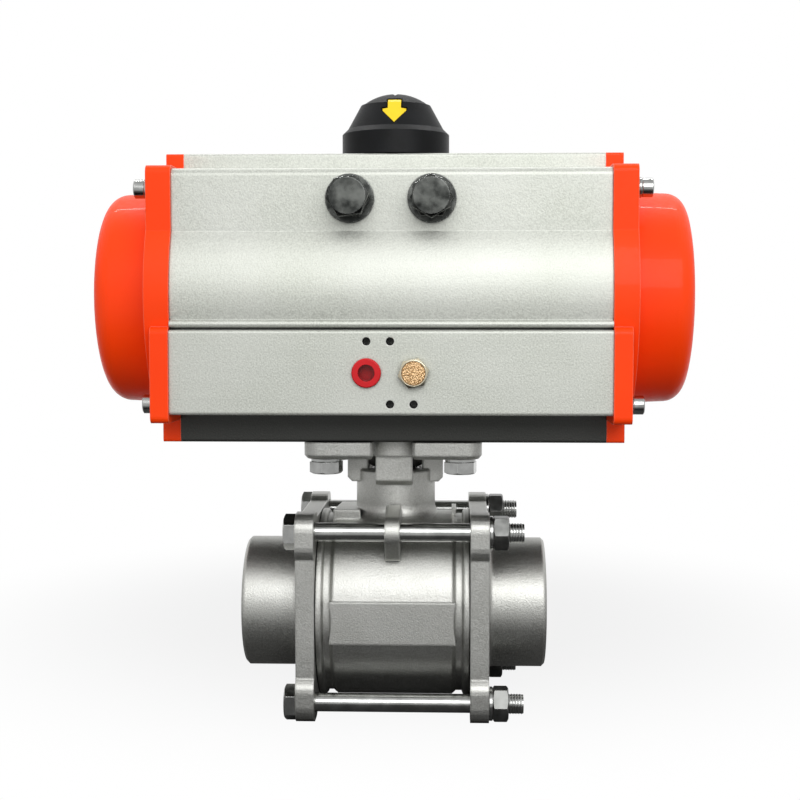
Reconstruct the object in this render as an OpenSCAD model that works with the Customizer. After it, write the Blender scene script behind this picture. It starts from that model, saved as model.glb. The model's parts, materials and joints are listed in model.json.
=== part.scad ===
// Quarter-turn ball valve with a spring-return rack-and-pinion pneumatic actuator.
// Origin: centre of the ball, on the pipe axis. X runs along the pipe, -Y is the port
// side of the actuator and +Z is up the stem. All sizes are in millimetres.
// The model is drawn with the valve closed: the pistons are in and the ball's bore
// lies across the pipe. Opening turns the shaft by +90 degrees about Z.

/* [Actuator body] */
// Bore of the air cylinder
bore_d = 125; // [122:1:126]
// Length of the body between its end caps
body_l = 226; // [222:1:240]
// Wall of the cylinder where it bulges out of the sides
bulge_wall = 11.5; // [10:0.5:13]
// Distance between the two upper side faces
body_w = 132; // [128:1:136]
// Height of the shoulders above the cylinder axis
shoulder_h = 66; // [65:0.5:68]
// Width of the raised rail on top
rail_w = 60; // [56:1:66]
// Height of the rail above the shoulders
rail_h = 11; // [9:0.5:13]
// Distance between the port face and the face opposite
port_w = 153; // [151:1:157]
// Height of the port face
port_face_h = 43.4; // [42:0.2:45]
// Drop of the port face's lower edge below the cylinder axis
port_face_drop = 60.4; // [60:0.2:62]
// Width of the foot that stands on the valve
foot_w = 90; // [88:1:100]
// Drop of the foot's lower face below the port face
foot_h = 16.6; // [15:0.2:18]
// Spacing of the accessory holes on top, along the body
accessory_l = 80; // [80:10:130]
// Spacing of the accessory holes on top, across the body
accessory_w = 30; // [30:1:30]

/* [Port face] */
// Distance between the two air ports
port_pitch = 24; // [22:0.5:26]
// Height between the upper and lower rows of fixing holes
port_fix_pitch = 32; // [30:0.5:34]
// Tapped size of an air port (G 1/4)
port_d = 11.8; // [11:0.2:13]
// Tapped size of an M5 hole
m5_tap_d = 4.2; // [4:0.1:4.6]

/* [End caps] */
// Thickness of the cap's flange
flange_t = 13; // [12:0.5:15]
// Thickness of the tabs that close the rail and the foot
tab_t = 9.5; // [8:0.5:11]
// How far the flange stands proud of the body all round
flange_lip = 1.5; // [1:0.1:2]
// How far the tab on the port face stands below that face
port_lip = 4.4; // [2:0.1:5]
// Diameter of the spring dome
dome_d = 117.6; // [114:0.2:120]
// Depth of a cap beyond the end of the body
cap_l = 48; // [46:1:60]
// Draft of the dome's side from its foot to its rim
dome_draft = 1.4; // [0.5:0.1:2]
// Rounding of the dome's rim
dome_round = 10; // [7:0.5:12]
// Crown of the dome's end face
dome_crown = 3; // [2:0.5:5]
// Wall of the dome
cap_wall = 5; // [4:0.5:6]
// Height of the cap screws above and below the cylinder axis
cap_screw_z = 56.5; // [56:0.1:57]
// Distance of the cap screws from the middle plane
cap_screw_y = 50; // [49:0.5:53]

/* [Rack and pinion] */
// Module of the teeth
tooth_module = 2.5; // [2.4:0.05:2.6]
// Number of teeth on the pinion
teeth = 20; // [20:4:20]
// Play between the flanks in mesh
backlash = 0.3; // [0.2:0.05:0.4]
// Height of the pinion's teeth
pinion_h = 40; // [38:1:44]
// Height of the racks
rack_h = 32; // [28:1:36]
// Distance from the stem axis to a piston's inner face when closed
piston_x = 50; // [50:0.5:53]
// Thickness of a piston's head
piston_t = 18; // [18:0.5:20]

/* [Springs] */
// Springs behind each piston
springs_per_side = 4; // [4:1:4]
// Mean diameter of a spring
spring_d = 26; // [22:1:28]
// Diameter of the spring wire
spring_wire = 3.8; // [3:0.2:4.2]
// Turns of a spring
spring_turns = 7; // [5:1:8]

/* [Shaft] */
// Diameter of the shaft's lower journal
journal_low_d = 48; // [46:1:50]
// Diameter of the shaft's upper journal
journal_top_d = 30; // [28:1:31]
// Height of the shaft's end above the rail
shaft_end_h = 20; // [18:1:22]
// Width across flats of the shaft's square end
shaft_end_af = 17; // [15:0.5:18]
// Width across flats of the square socket in the shaft
drive_af = 22; // [20:0.5:24]
// Depth of the square socket in the shaft
drive_depth = 26; // [24:1:30]

/* [Travel stops] */
// Distance of a stop screw from the middle plane
stop_x = 21; // [20:0.5:22]
// Height of the stop screws above the cylinder axis
stop_z = 50; // [49:0.5:51]
// Thread diameter of a stop screw
stop_d = 12; // [10:1:12]
// Distance of the cam's stop faces from the shaft axis
cam_face = 19; // [18.5:0.1:19.5]
// Radius of the cam over its two lugs
cam_r = 32; // [31:0.2:32.4]
// Thickness of the cam
cam_t = 9; // [8:0.5:9]

/* [Indicator] */
// Diameter of the indicator cap
indicator_d = 59.2; // [56:0.2:62]
// Height of the indicator cap
indicator_h = 35; // [33:0.2:40]

/* [Valve body] */
// Height of the mounting pad's face above the pipe axis
pad_z = 94; // [92:1:98]
// Width of the square mounting pad
pad_w = 95; // [94:1:98]
// Thickness of the mounting pad
pad_t = 9; // [8:0.5:10]
// Pitch circle of the mounting bolts (ISO 5211 F10)
pad_pcd = 102; // [101:0.5:104]
// Diameter of the neck
neck_d = 44; // [42:1:46]
// Drop of the neck's rim below the pad's face
neck_drop = 18; // [17:0.5:20]
// Diameter of the barrel
barrel_d = 103; // [101:0.5:103.5]
// Diameter of the rings at the barrel's ends
ring_d = 104; // [103:0.5:105]
// Length of the centre body between the end connectors
centre_l = 83; // [82:1:86]
// Bore of the centre body
cavity_d = 79; // [78.5:0.5:80]
// Gap between the ball and the bore of the centre body
ball_gap = 1.5; // [1:0.25:2.5]
// Bore of the ball and of the pipe way
way_d = 50; // [46:0.5:51]

/* [End connectors] */
// Face-to-face length of the valve
valve_l = 166; // [160:1:176]
// Outer diameter of a connector's stub
stub_d = 72; // [69:0.5:73]
// Bore of the weld socket (60.3 mm pipe)
socket_d = 61.2; // [60.6:0.1:61.8]
// Depth of the weld socket
socket_l = 16; // [14:0.5:18]
// Thickness of a connector's flange
plate_t = 10; // [9:0.5:12]
// Width of a connector's flange over its lugs
plate_w = 112; // [110:1:114]
// Distance of the body bolts from the middle planes
bolt_yz = 46; // [45.5:0.1:46.5]

/* [Fasteners and fits] */
// Thread diameter of the body and mounting bolts
m10_d = 10; // [9:0.5:10.5]
// Width across flats of their heads and nuts
m10_af = 17; // [16:0.5:17]
// Width across flats of the mounting bolts' heads
mount_af = 16; // [16:0.5:17]
// Height of their heads
m10_head = 6.4; // [6:0.2:7]
// Height of their nuts
m10_nut = 8.4; // [8:0.2:9]
// Thickness of their washers
m10_washer = 2; // [1.6:0.2:2.4]
// Thread diameter of the cap screws
m6_d = 6; // [5:0.5:6]
// Head diameter of the cap screws
m6_head_d = 10; // [9:0.5:10]
// Radial play of a bolt in its hole
bolt_play = 0.5; // [0.3:0.1:0.6]
// Radial play of a thread that is drawn plain
thread_play = 0.05; // [0.03:0.01:0.1]
// Radial play of a shaft, seal or piston that runs in a bore
run_play = 0.05; // [0.03:0.01:0.08]
// Gap between faces that pass each other
face_gap = 0.3; // [0.2:0.05:0.4]

/* [Hidden] */
$fn = 64;
eps = 0.01;

// Colours
anodised = [0.79, 0.80, 0.77];
orange_paint = [0.98, 0.31, 0.15];
steel = [0.74, 0.75, 0.74];
cast_steel = [0.64, 0.65, 0.62];
dark_steel = [0.36, 0.37, 0.38];
black_plastic = [0.07, 0.07, 0.08];
yellow = [1.0, 0.88, 0.10];
red_plastic = [0.90, 0.13, 0.17];
bronze = [0.85, 0.65, 0.40];
bearing_plastic = [0.90, 0.90, 0.86];
rubber = [0.10, 0.10, 0.10];
ptfe = [0.96, 0.96, 0.94];
spring_paint = [0.20, 0.34, 0.62];

// Actuator body, heights measured from the cylinder axis
bore_r = bore_d / 2;
bulge_r = bore_r + bulge_wall;
body_x = body_l / 2;
face_y = body_w / 2;
port_y = port_w / 2;
rail_top = shoulder_h + rail_h;
pad_top_drop = port_face_drop - port_face_h;
foot_drop = port_face_drop + foot_h;
axis_z = pad_z + foot_drop;
top_z = axis_z + rail_top;
edge_round = 4;
bead_r = 2.2;
bead_drop = pad_top_drop - 3;
m5_depth = 9;

// Port face
port_z = -(port_face_drop + pad_top_drop) / 2;
port_x = port_pitch / 2;
port_depth = 10;
air_way_d = 6;
vent_af = 14;
vent_head = 5;
filter_r = 6.1;
filter_t = 2.5;
channel_y = port_y - 18.5;
channel_z = port_z - port_d / 2 - air_way_d / 2 + 0.9;

// End caps
dome_r = dome_d / 2;
cap_x = body_x + cap_l;
spigot_l = 5;
spigot_r = bore_r - run_play;
cap_bore_r = dome_r - dome_draft - cap_wall;
cap_corner = 3;
cap_floor_x = cap_x - dome_crown - cap_wall;
cap_screw_depth = 16;
m6_head_h = 6;
m6_washer_t = 1.6;
m6_socket_af = 5;
screw_seat_r = m6_head_d / 2 + 2;
cap_seal_r = 1.5;
cap_seal_x = body_x - spigot_l / 2;

// Rack and pinion
pitch_r = tooth_module * teeth / 2;
tip_r = pitch_r + tooth_module;
root_r = pitch_r - 1.25 * tooth_module;
pressure_angle = 20;
rack_pitch = PI * tooth_module;
rack_root_y = pitch_r + 1.25 * tooth_module;
rack_end_gap = 2;
rack_end_x = piston_x - rack_end_gap;
rack_tooth_from = -2;
rack_tooth_to = floor((rack_end_x - rack_pitch / 2) / rack_pitch);
piston_r = bore_r - 0.4;
piston_out_x = piston_x + piston_t;
slide_r = bore_r - run_play;
rack_back_r = bore_r - 2.5;
rack_pad_t = 3;
rack_pad_l = 34;
rack_pad_h = rack_h - 8;
rack_pad_x = -18;
seal_w = 5;
seal_depth = 5;
guide_w = 6.5;
guide_t = 2.8;
guide_x = piston_x + 2;
seal_x = piston_out_x - 3 - seal_w;

// Springs
spring_ring_r = 33.5;
spring_pocket = piston_t - 8;
spring_from = piston_out_x - spring_pocket + 0.1;
spring_to = cap_floor_x - 0.1;
spring_pocket_r = spring_d / 2 + spring_wire / 2 + 1;
spring_boss_r = spring_d / 2 - spring_wire / 2 - 1.5;
spring_boss_h = 8;

// Shaft, heights measured from the cylinder axis
journal_low_r = journal_low_d / 2;
journal_top_r = journal_top_d / 2;
shaft_foot = -foot_drop + 0.5;
cam_top = stop_z + 3;
cam_foot = cam_top - cam_t;
cam_hub_r = 24;
cam_seat_r = 17;
cam_seat_flat = 14.5;
collar_r = 20;
low_bearing_r = tip_r + 0.6;
top_bearing_r = journal_top_r + 3;
bearing_flange_r = top_bearing_r + 1.5;
bearing_flange_t = 2;
collar_top = bore_r - bearing_flange_t - face_gap;
bearing_l = 9;
thrust_t = 2;
ring_t = 1.5;
ring_groove = 1.4;
thrust_z = rail_top + 0.1;
ring_z = thrust_z + thrust_t + 0.05;
shaft_end = rail_top + shaft_end_h;
indicator_screw_d = 6;

// Stop screws
stop_r = stop_d / 2;
stop_af = 19;
stop_dog_r = 4;
stop_dog_l = 6;
stop_head = 7.5;
stop_nut = 9;
stop_washer_t = 2.5;
stop_washer_d = 25;
stop_turns = [8, 30];

// Indicator, heights measured from its lower edge
indicator_z = top_z + 0.4;
indicator_r = indicator_d / 2;
band_h = 12.4;
cone_foot_r = indicator_r - 3.1;
cone_foot_h = band_h + 3;
cone_top_r = indicator_r - 10.3;
cone_top_h = indicator_h - 6.5;
crown_r = cone_top_r - 1.1;
crown_h = cone_top_h + 0.2;
arrow_depth = 1.4;
arrow_sunk = 0.4;
notch = 2;
arrow_shaft = 3.6;
arrow_head = 6.4;
arrow_drop = 5.1;
arrow_shaft_l = 5;
arrow_barb_t = 1.6;
arrow_barb_drop = 0.4;
arrow_l = 13.2;
arrow_top = indicator_h - arrow_drop;
arrow_neck = arrow_top - arrow_shaft_l;
arrow_barb = arrow_neck - arrow_barb_t;
arrow_tip = arrow_top - arrow_l;
indicator_bore_r = 5.4;
indicator_bore_depth = 9;

// Valve, heights measured from the pipe axis
cavity_r = cavity_d / 2;
ball_r = cavity_r - ball_gap;
way_r = way_d / 2;
barrel_r = barrel_d / 2;
ring_r = ring_d / 2;
centre_x = centre_l / 2;
ring_w = 3.8;
groove_w = 3.6;
groove_r = barrel_r - 2;
neck_r = neck_d / 2;
neck_z = pad_z - neck_drop;
pad_under = pad_z - pad_t;
pad_half = pad_w / 2;
pad_hole = pad_pcd / 2 * sin(45);
pad_bore_r = 18;
rib_w = 20;
rib_r = neck_r + 4.5;
rib_foot = neck_z - 7;
rib_chamfer = 2.5;
lobe_round = 8;
stem_r = 9;
collar_stem_r = 13;
collar_foot = ball_r + 0.2;
thrust_under = cavity_r + 5.5;
packing_r = 14;
packing_z = 58;
packing_h = 10;
gland_h = 5;
disc_h = 3.4;
nut_af = 27;
nut_h = 7;
gland_z = packing_z + 0.1 + packing_h;
disc_z = gland_z + gland_h + 0.1;
gland_nut_z = disc_z + disc_h + 0.05;
stem_af = 14;
stem_rise = 18;
stem_top = pad_z + stem_rise;
stem_square_z = pad_z - 5;
sleeve_z = pad_z + 0.8;
sleeve_h = drive_depth - 4;
tang_w = 10;
tang_l = 24;
tang_foot = ball_r - 7;
seat_in = 23;
spigot_in = centre_x - 5.5;
body_seal_t = 1.5;
plate_out = centre_x + plate_t;
valve_x = valve_l / 2;
plate_half = plate_w / 2;
waist_half = plate_half - 3.5;
lug_w = 26;
lug_round = 9;
m10_r = m10_d / 2;
washer_r = 10;
bolt_tail = 8;
bolt_end = plate_out + m10_washer + m10_nut + bolt_tail;
mount_bolt_grip = 15;
mount_bolt_top = pad_z + mount_bolt_grip;
mount_washer_r = 8.2;
ear_t = 8;
ear_r = 9;

// ---- Shared shapes ----

// Points of an arc about [x, y]
function arc(x, y, r, from, to, steps = 6) =
    [for (i = [0 : steps]) let (a = from + (to - from) * i / steps) [x + r * cos(a), y + r * sin(a)]];

// A rectangle with rounded corners, given by two opposite corners
function round_rect(x0, y0, x1, y1, r, steps = 5) = concat(
    arc(x1 - r, y1 - r, r, 0, 90, steps),
    arc(x0 + r, y1 - r, r, 90, 180, steps),
    arc(x0 + r, y0 + r, r, 180, 270, steps),
    arc(x1 - r, y0 + r, r, 270, 360, steps));

// Draws the children on the right, or mirrored on the left
module on_side(side) {
    if (side > 0) children();
    else mirror([1, 0, 0]) children();
}

// Turns the children half a turn for the left piston
module on_piston_side(side) {
    translate([0, 0, axis_z]) rotate([0, 0, side > 0 ? 0 : 180]) children();
}

module at_actuator() {
    translate([0, 0, axis_z]) children();
}

// A profile in Y and Z drawn out along X
module along_x(x0, x1) {
    translate([x0, 0, 0]) rotate([90, 0, 90]) linear_extrude(x1 - x0) children();
}

// A profile of [radius, x] turned about the X axis
module turned_x() {
    rotate([0, 90, 0]) rotate_extrude() children();
}

module rod_x(r, x0, x1) {
    translate([x0, 0, 0]) rotate([0, 90, 0]) cylinder(r = r, h = x1 - x0);
}

// A rod along Y from the front point y0 back to y1
module rod_y(r, y0, y1) {
    translate([0, y1, 0]) rotate([90, 0, 0]) cylinder(r = r, h = y1 - y0);
}

module rod_z(r, z0, z1) {
    translate([0, 0, z0]) cylinder(r = r, h = z1 - z0);
}

module ring_shape(r_out, r_in, z0, z1) {
    difference() {
        rod_z(r_out, z0, z1);
        rod_z(r_in, z0 - 1, z1 + 1);
    }
}

// A round bar with both edges chamfered, standing on z = 0
module chamfered_rod(r, h, c) {
    rotate_extrude() polygon([[0, 0], [r - c, 0], [r, c], [r, h - c], [r - c, h], [0, h]]);
}

// A hexagon across flats af, its corners turned off at the top
module hex_head(af, h) {
    intersection() {
        cylinder(d = af / cos(30), h = h, $fn = 6);
        rotate_extrude() polygon([[0, 0], [af * 0.6, 0], [af * 0.6, h - af * 0.07], [af * 0.475, h], [0, h]]);
    }
}

module hex_nut(af, h, bore_r) {
    difference() {
        intersection() {
            cylinder(d = af / cos(30), h = h, $fn = 6);
            rotate_extrude() polygon([
                [0, 0], [af * 0.475, 0], [af * 0.6, af * 0.07],
                [af * 0.6, h - af * 0.07], [af * 0.475, h], [0, h]]);
        }
        translate([0, 0, -1]) cylinder(r = bore_r, h = h + 2);
    }
}

module flat_washer(r_out, r_in, t) {
    difference() {
        chamfered_rod(r_out, t, 0.3);
        translate([0, 0, -1]) cylinder(r = r_in, h = t + 2);
    }
}

// A torus about Z
module o_ring(r, wire_r) {
    rotate_extrude() translate([r, 0]) circle(r = wire_r);
}

// ---- Actuator body ----

// Cross-section of the shoulders and of the bulge below them
module bulge_section(grow = 0) {
    intersection() {
        circle(r = bulge_r + grow);
        translate([-bulge_r - 5, -port_face_drop]) square([2 * bulge_r + 10, port_face_drop + shoulder_h - 2]);
    }
    polygon(round_rect(-face_y - grow, -pad_top_drop - 20, face_y + grow, shoulder_h + grow, edge_round));
}

// Cross-section behind the two port faces
module port_section(grow, drop, corner) {
    polygon(round_rect(-port_y - grow, -port_face_drop - drop, port_y + grow, -pad_top_drop + grow, corner));
}

module rail_section() {
    polygon(round_rect(-rail_w / 2, shoulder_h - 8, rail_w / 2, rail_top, 1.5));
}

module foot_section() {
    polygon(round_rect(-foot_w / 2, -foot_drop, foot_w / 2, -port_face_drop + 8, 1.5));
}

module bead_section() {
    for (side = [-1, 1])
        translate([side * sqrt(pow(bulge_r, 2) - pow(bead_drop, 2)), -bead_drop]) circle(r = bead_r);
}

module body_section() {
    bulge_section();
    port_section(0, 0, 1.5);
    rail_section();
    foot_section();
    bead_section();
}

// Places the children on the four cap screws' axes
module at_cap_screws() {
    for (y = [-1, 1], z = [-1, 1]) translate([0, y * cap_screw_y, z * cap_screw_z]) children();
}

// Places the children on the two lower cap screws' axes
module at_low_cap_screws() {
    for (y = [-1, 1]) translate([0, y * cap_screw_y, -cap_screw_z]) children();
}

// Places the children on the two travel stops' axes
module at_stops() {
    for (side = [-1, 1]) let ($side = side) translate([side * stop_x, 0, stop_z]) children();
}

// Places the children on the four mounting bolts' axes
module at_mounting() {
    for (x = [-1, 1], y = [-1, 1]) translate([x * pad_hole, y * pad_hole, 0]) children();
}

module port_holes() {
    translate([-port_x, 0, port_z]) {
        rod_y(port_d / 2, -port_y - 1, -port_y + port_depth);
        rod_y(air_way_d / 2, -port_y, -bore_r + 20);
    }
    translate([port_x, 0, port_z]) rod_y(port_d / 2, -port_y - 1, -channel_y);
    for (place = [[-1, 1], [0, 1], [0, -1], [1, -1]])
        translate([place[0] * port_x, 0, port_z + place[1] * port_fix_pitch / 2])
            rod_y(m5_tap_d / 2, -port_y - 1, -port_y + m5_depth);
}

module shaft_holes() {
    rod_z(low_bearing_r, -foot_drop - 1, -bore_r + 12);
    rod_z(top_bearing_r, bore_r - 8, rail_top + 1);
    rod_z(bearing_flange_r + 0.3, bore_r - 8, bore_r);
}

module actuator_body() {
    color(anodised) at_actuator() difference() {
        along_x(-body_x, body_x) body_section();
        rod_x(bore_r, -body_x - 1, body_x + 1);
        shaft_holes();
        port_holes();
        translate([0, -channel_y, channel_z]) rod_x(air_way_d / 2, -body_x - 1, body_x + 1);
        at_stops() rod_y(stop_r + thread_play, -face_y - 1, 0);
        at_mounting() rod_z(m10_r + thread_play, -foot_drop - 1, -foot_drop + 17);
        for (side = [-1, 1]) on_side(side) at_cap_screws()
            rod_x(m6_d / 2 + thread_play, body_x - cap_screw_depth, body_x + 1);
        for (x = [-1, 1], y = [-1, 1]) translate([x * accessory_l / 2, y * accessory_w / 2, 0])
            rod_z(m5_tap_d / 2, rail_top - m5_depth, rail_top + 1);
    }
}

// ---- End caps ----

// Outline of the dome as [radius, x], from the rim's foot to the crown
function dome_outline(inset) = let (
    r = dome_r - dome_draft - inset,
    flat_x = cap_x - dome_crown - inset,
    round_r = dome_round - min(inset, dome_round - 4)
) concat(
    [[0, body_x + 2], [r + dome_draft, body_x + 2]],
    arc(r - round_r, flat_x - round_r, round_r, 3, 80, 8),
    [for (i = [3 : -1 : 0]) let (y = (r - round_r) * i / 4)
        [y, flat_x + dome_crown * (1 - pow(y / r, 2))]]);

// The flange, thinner at its tabs, with a seat turned into it for each lower cap screw
module flange_plate() {
    difference() {
        along_x(body_x, body_x + flange_t) bulge_section(flange_lip);
        at_low_cap_screws() rod_x(screw_seat_r, body_x + tab_t, body_x + flange_t + 1);
    }
    along_x(body_x, body_x + tab_t) {
        port_section(flange_lip, port_lip, 3.5);
        rail_section();
        foot_section();
    }
}

module end_cap(side) {
    color(orange_paint) at_actuator() on_side(side) difference() {
        union() {
            flange_plate();
            turned_x() polygon(dome_outline(0));
            rod_x(spigot_r, body_x - spigot_l, body_x + 1);
        }
        turned_x() polygon([
            [0, body_x - spigot_l - 1], [cap_bore_r, body_x - spigot_l - 1],
            [cap_bore_r, cap_floor_x - cap_corner], [cap_bore_r - cap_corner, cap_floor_x], [0, cap_floor_x]]);
        translate([cap_seal_x, 0, 0]) turned_x()
            translate([spigot_r - 2 * cap_seal_r - 0.1, -cap_seal_r]) square([5, 2 * cap_seal_r]);
        at_cap_screws() rod_x(m6_d / 2 + bolt_play, body_x - 1, body_x + flange_t + 1);
        translate([body_x - 0.5, 0, 0]) rotate([atan2(-channel_z, channel_y), 0, 0])
            translate([0, -norm([channel_y, channel_z]) - 3, -air_way_d / 2])
                cube([5, norm([channel_y, channel_z]) + 3 - cap_bore_r + 4, air_way_d]);
    }
    color(orange_paint) at_actuator() on_side(side) at_springs()
        rod_x(spring_boss_r, cap_floor_x - spring_boss_h, cap_floor_x + 1);
}

module end_cap_left() {
    end_cap(-1);
}

module end_cap_right() {
    end_cap(1);
}

module cap_seal(side) {
    color(rubber) at_actuator() on_side(side) translate([cap_seal_x, 0, 0]) rotate([0, 90, 0])
        o_ring(bore_r - 0.05 - cap_seal_r, cap_seal_r - 0.02);
}

module cap_seal_left() {
    cap_seal(-1);
}

module cap_seal_right() {
    cap_seal(1);
}

// Socket head cap screw lying along X, with its washer and lock washer seated at seat_x
module cap_screw(seat_x) {
    head_x = seat_x + 2 * m6_washer_t;
    difference() {
        union() {
            rod_x(m6_d / 2, body_x - cap_screw_depth + 2, head_x + 1);
            translate([seat_x, 0, 0]) rotate([0, 90, 0]) chamfered_rod(m6_head_d / 2 + 1, m6_washer_t, 0.3);
            translate([seat_x + m6_washer_t, 0, 0]) rotate([0, 90, 0])
                chamfered_rod(m6_head_d / 2 + 0.4, m6_washer_t, 0.3);
            translate([head_x, 0, 0]) rotate([0, 90, 0]) chamfered_rod(m6_head_d / 2, m6_head_h, 0.5);
        }
        translate([head_x + m6_head_h - 3, 0, 0]) rotate([0, 90, 0])
            cylinder(d = m6_socket_af / cos(30), h = 4, $fn = 6);
    }
}

module cap_screws(side) {
    color(steel) at_actuator() on_side(side) for (y = [-1, 1]) {
        translate([0, y * cap_screw_y, cap_screw_z]) cap_screw(body_x + flange_t);
        translate([0, y * cap_screw_y, -cap_screw_z]) cap_screw(body_x + tab_t);
    }
}

module cap_screws_left() {
    cap_screws(-1);
}

module cap_screws_right() {
    cap_screws(1);
}

// ---- Travel stops ----

stop_nut_y = face_y + stop_washer_t;
stop_head_y = stop_nut_y + stop_nut + 0.5;
stop_tip_y = cam_face + face_gap;

module stop_screws() {
    color(dark_steel) at_actuator() at_stops() {
        rod_y(stop_dog_r, -stop_tip_y - stop_dog_l - 1, -stop_tip_y);
        rod_y(stop_r, -stop_head_y - 1, -stop_tip_y - stop_dog_l);
        translate([0, -stop_head_y, 0]) rotate([90, 0, 0]) rotate(stop_turns[($side + 1) / 2])
            hex_head(stop_af, stop_head);
    }
}

module stop_lock_nuts() {
    color(dark_steel) at_actuator() at_stops()
        translate([0, -stop_nut_y, 0]) rotate([90, 0, 0]) hex_nut(stop_af, stop_nut, stop_r + thread_play);
}

module stop_washers() {
    color(steel) at_actuator() at_stops()
        translate([0, -face_y, 0]) rotate([90, 0, 0])
            flat_washer(stop_washer_d / 2, stop_r + bolt_play, stop_washer_t);
}

// ---- Ports ----

module port_plug() {
    color(red_plastic) at_actuator() translate([-port_x, -port_y, port_z]) rotate([90, 0, 0]) difference() {
        union() {
            chamfered_rod(7.5, 2.4, 0.5);
            translate([0, 0, -port_depth + 2]) cylinder(r = port_d / 2 - thread_play, h = port_depth);
        }
        translate([0, 0, -port_depth + 4]) cylinder(r = 4.3, h = port_depth);
    }
}

module breather_vent() {
    color(dark_steel) at_actuator() translate([port_x, -port_y, port_z]) rotate([90, 0, 0]) difference() {
        union() {
            rotate(12) hex_head(vent_af, vent_head);
            translate([0, 0, -port_depth + 3]) cylinder(r = port_d / 2 - thread_play, h = port_depth);
        }
        translate([0, 0, -port_depth + 1]) cylinder(r = 3, h = port_depth);
        translate([0, 0, vent_head - filter_t]) cylinder(r = filter_r + run_play, h = filter_t + 1);
    }
}

module breather_filter() {
    color(bronze) at_actuator() translate([port_x, -port_y - vent_head + filter_t, port_z]) rotate([90, 0, 0])
        rotate_extrude() polygon([
            [0, 0], [filter_r, 0], [filter_r, filter_t - 0.3], [filter_r - 0.5, filter_t], [0, filter_t + 0.2]]);
}

// ---- Shaft bearings and seals ----

seal_wire_low = (low_bearing_r - journal_low_r) / 2;
seal_wire_top = (top_bearing_r - journal_top_r) / 2;

module shaft_bearing_lower() {
    color(bearing_plastic) at_actuator()
        ring_shape(low_bearing_r - 0.05, journal_low_r + run_play, -foot_drop + 0.5, -foot_drop + bearing_l);
}

module shaft_bearing_upper() {
    color(bearing_plastic) at_actuator() difference() {
        union() {
            rod_z(top_bearing_r - 0.05, bore_r - 1, bore_r + bearing_l);
            rod_z(bearing_flange_r, bore_r - bearing_flange_t, bore_r);
        }
        rod_z(journal_top_r + run_play, bore_r - 5, rail_top);
    }
}

module shaft_seal_lower() {
    color(rubber) at_actuator() translate([0, 0, -foot_drop + bearing_l + seal_wire_low + 0.1])
        o_ring(journal_low_r + seal_wire_low, seal_wire_low - run_play);
}

module shaft_seal_upper() {
    color(rubber) at_actuator() translate([0, 0, bore_r + bearing_l + seal_wire_top + 0.1])
        o_ring(journal_top_r + seal_wire_top, seal_wire_top - run_play);
}

// ---- Springs ----

// Places the children on the springs' axes round the cylinder axis
module at_springs() {
    for (i = [0 : springs_per_side - 1]) rotate([45 + i * 360 / springs_per_side, 0, 0])
        translate([0, spring_ring_r, 0]) children();
}

// Place of a coil spring's centre line along its axis, turns being counted from its start.
// The first and last turns lie closed.
function coil_x(turn, length) = let (
    closed = spring_wire * 1.05,
    open = (length - spring_wire - 2 * closed) / (spring_turns - 2)
) turn < 1 ? turn * closed
    : turn > spring_turns - 1 ? closed + (spring_turns - 2) * open + (turn - spring_turns + 1) * closed
    : closed + (turn - 1) * open;

// A coil spring along X, its wire swept as a tube with spring_sides flats
spring_sides = 6;
spring_steps = 10;

module coil_spring(x0, x1) {
    rings = spring_turns * spring_steps;
    wire_r = spring_wire / 2;
    points = [for (i = [0 : rings], k = [0 : spring_sides - 1]) let (
        a = i * 360 / spring_steps,
        b = k * 360 / spring_sides,
        r = spring_d / 2 + wire_r * cos(b)
    ) [x0 + wire_r + coil_x(i / spring_steps, x1 - x0) + wire_r * sin(b), r * cos(a), r * sin(a)]];
    side_faces = [for (i = [0 : rings - 1], k = [0 : spring_sides - 1]) let (
        next = (k + 1) % spring_sides,
        here = i * spring_sides,
        there = here + spring_sides
    ) each [[here + k, there + k, there + next], [here + k, there + next, here + next]]];
    start_face = [for (k = [0 : spring_sides - 1]) k];
    end_face = [for (k = [spring_sides - 1 : -1 : 0]) rings * spring_sides + k];
    polyhedron(points, concat([start_face], side_faces, [end_face]));
}

module spring_set(side) {
    color(spring_paint) at_actuator() on_side(side) at_springs() coil_spring(spring_from, spring_to);
}

module spring_set_left() {
    spring_set(-1);
}

module spring_set_right() {
    spring_set(1);
}

// ---- Pinion shaft ----

// Involute of the pressure angle, in degrees
function involute(a) = tan(a) * 180 / PI - a;

// Half the angle that a tooth fills at radius r
function tooth_half_angle(r) = let (
    base_r = pitch_r * cos(pressure_angle),
    half_pitch = (PI * tooth_module / 2 - backlash / 2) / pitch_r * 90 / PI
) half_pitch + involute(pressure_angle) - involute(acos(min(1, base_r / max(r, base_r))));

// One tooth's flank as [radius, half angle], from root to tip
flank_steps = 6;
flank = let (start_r = max(root_r, pitch_r * cos(pressure_angle))) concat(
    [[root_r, tooth_half_angle(start_r)]],
    [for (i = [0 : flank_steps]) let (r = start_r + (tip_r - start_r) * i / flank_steps)
        [r, tooth_half_angle(r)]]);

function polar(r, a) = [r * cos(a), r * sin(a)];

module pinion_section() {
    last = len(flank) - 1;
    polygon([for (t = [0 : teeth - 1]) let (a = t * 360 / teeth) each concat(
        [for (i = [0 : last]) polar(flank[i][0], a - flank[i][1])],
        [for (i = [0 : last]) polar(flank[last - i][0], a + flank[last - i][1])])]);
}

module cam_seat_section(gap) {
    intersection() {
        circle(r = cam_seat_r + gap);
        square([3 * cam_seat_r, 2 * (cam_seat_flat + gap)], center = true);
    }
}

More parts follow.
